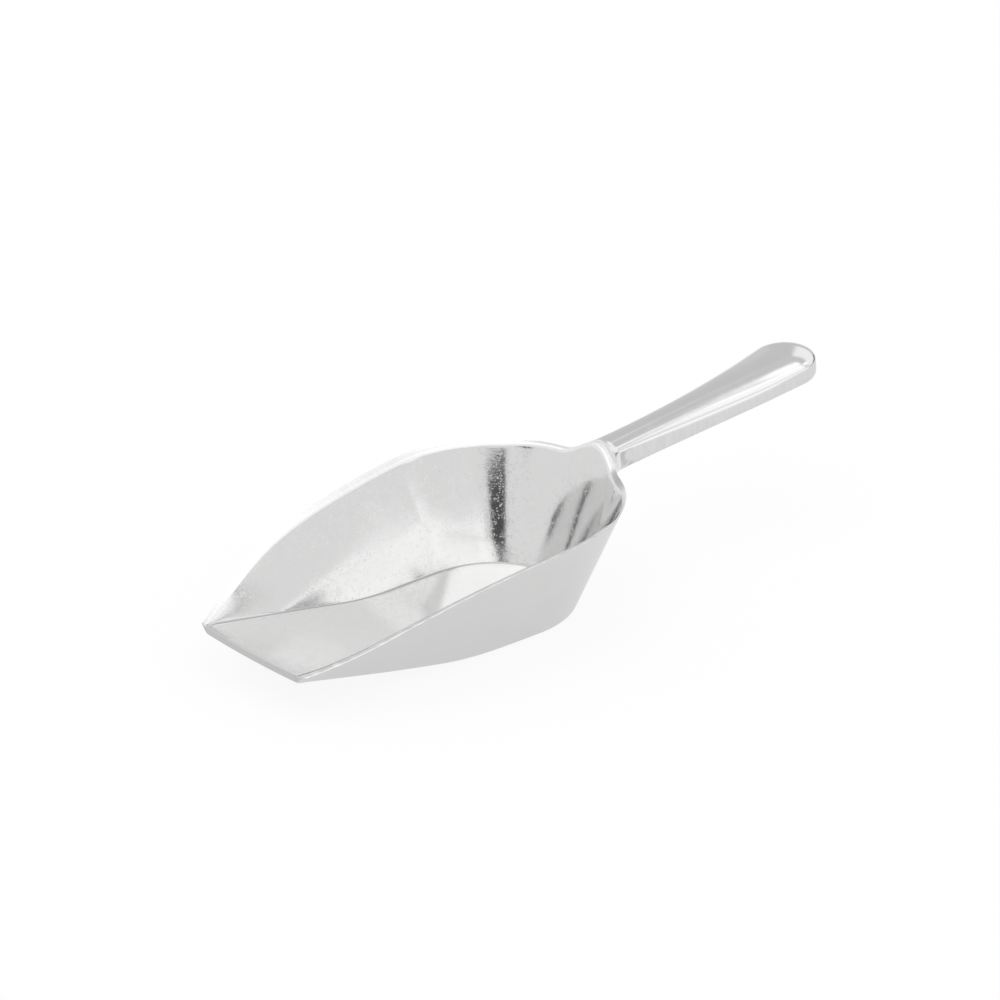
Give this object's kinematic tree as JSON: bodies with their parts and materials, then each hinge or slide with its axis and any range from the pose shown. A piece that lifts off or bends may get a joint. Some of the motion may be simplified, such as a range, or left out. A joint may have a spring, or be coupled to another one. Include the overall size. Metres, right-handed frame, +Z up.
{
  "type": "ice scoop",
  "caption": "Small flat-bottomed aluminium ice scoop: flared round-backed tub with a ramped pouring lip and a slim bar handle swelling to a rounded end.",
  "frame": {"origin": "on the resting plane, under the middle of the whole length, on the plane of symmetry", "axes": "+X from the pouring lip towards the handle's end, +Y to the left of someone facing along +X, +Z up"},
  "size_m": [0.2152, 0.0812, 0.0487],
  "materials": {
    "bowl_metal": "tumbled bright, ground rim",
    "handle_metal": "polished top, belt-ground sides",
    "weld_metal": "bright weld, partly blended"
  },
  "bodies": {
    "root": {"bowl": "bowl_metal", "handle": "handle_metal", "root_weld": "weld_metal"}
  },
  "joints": []
}
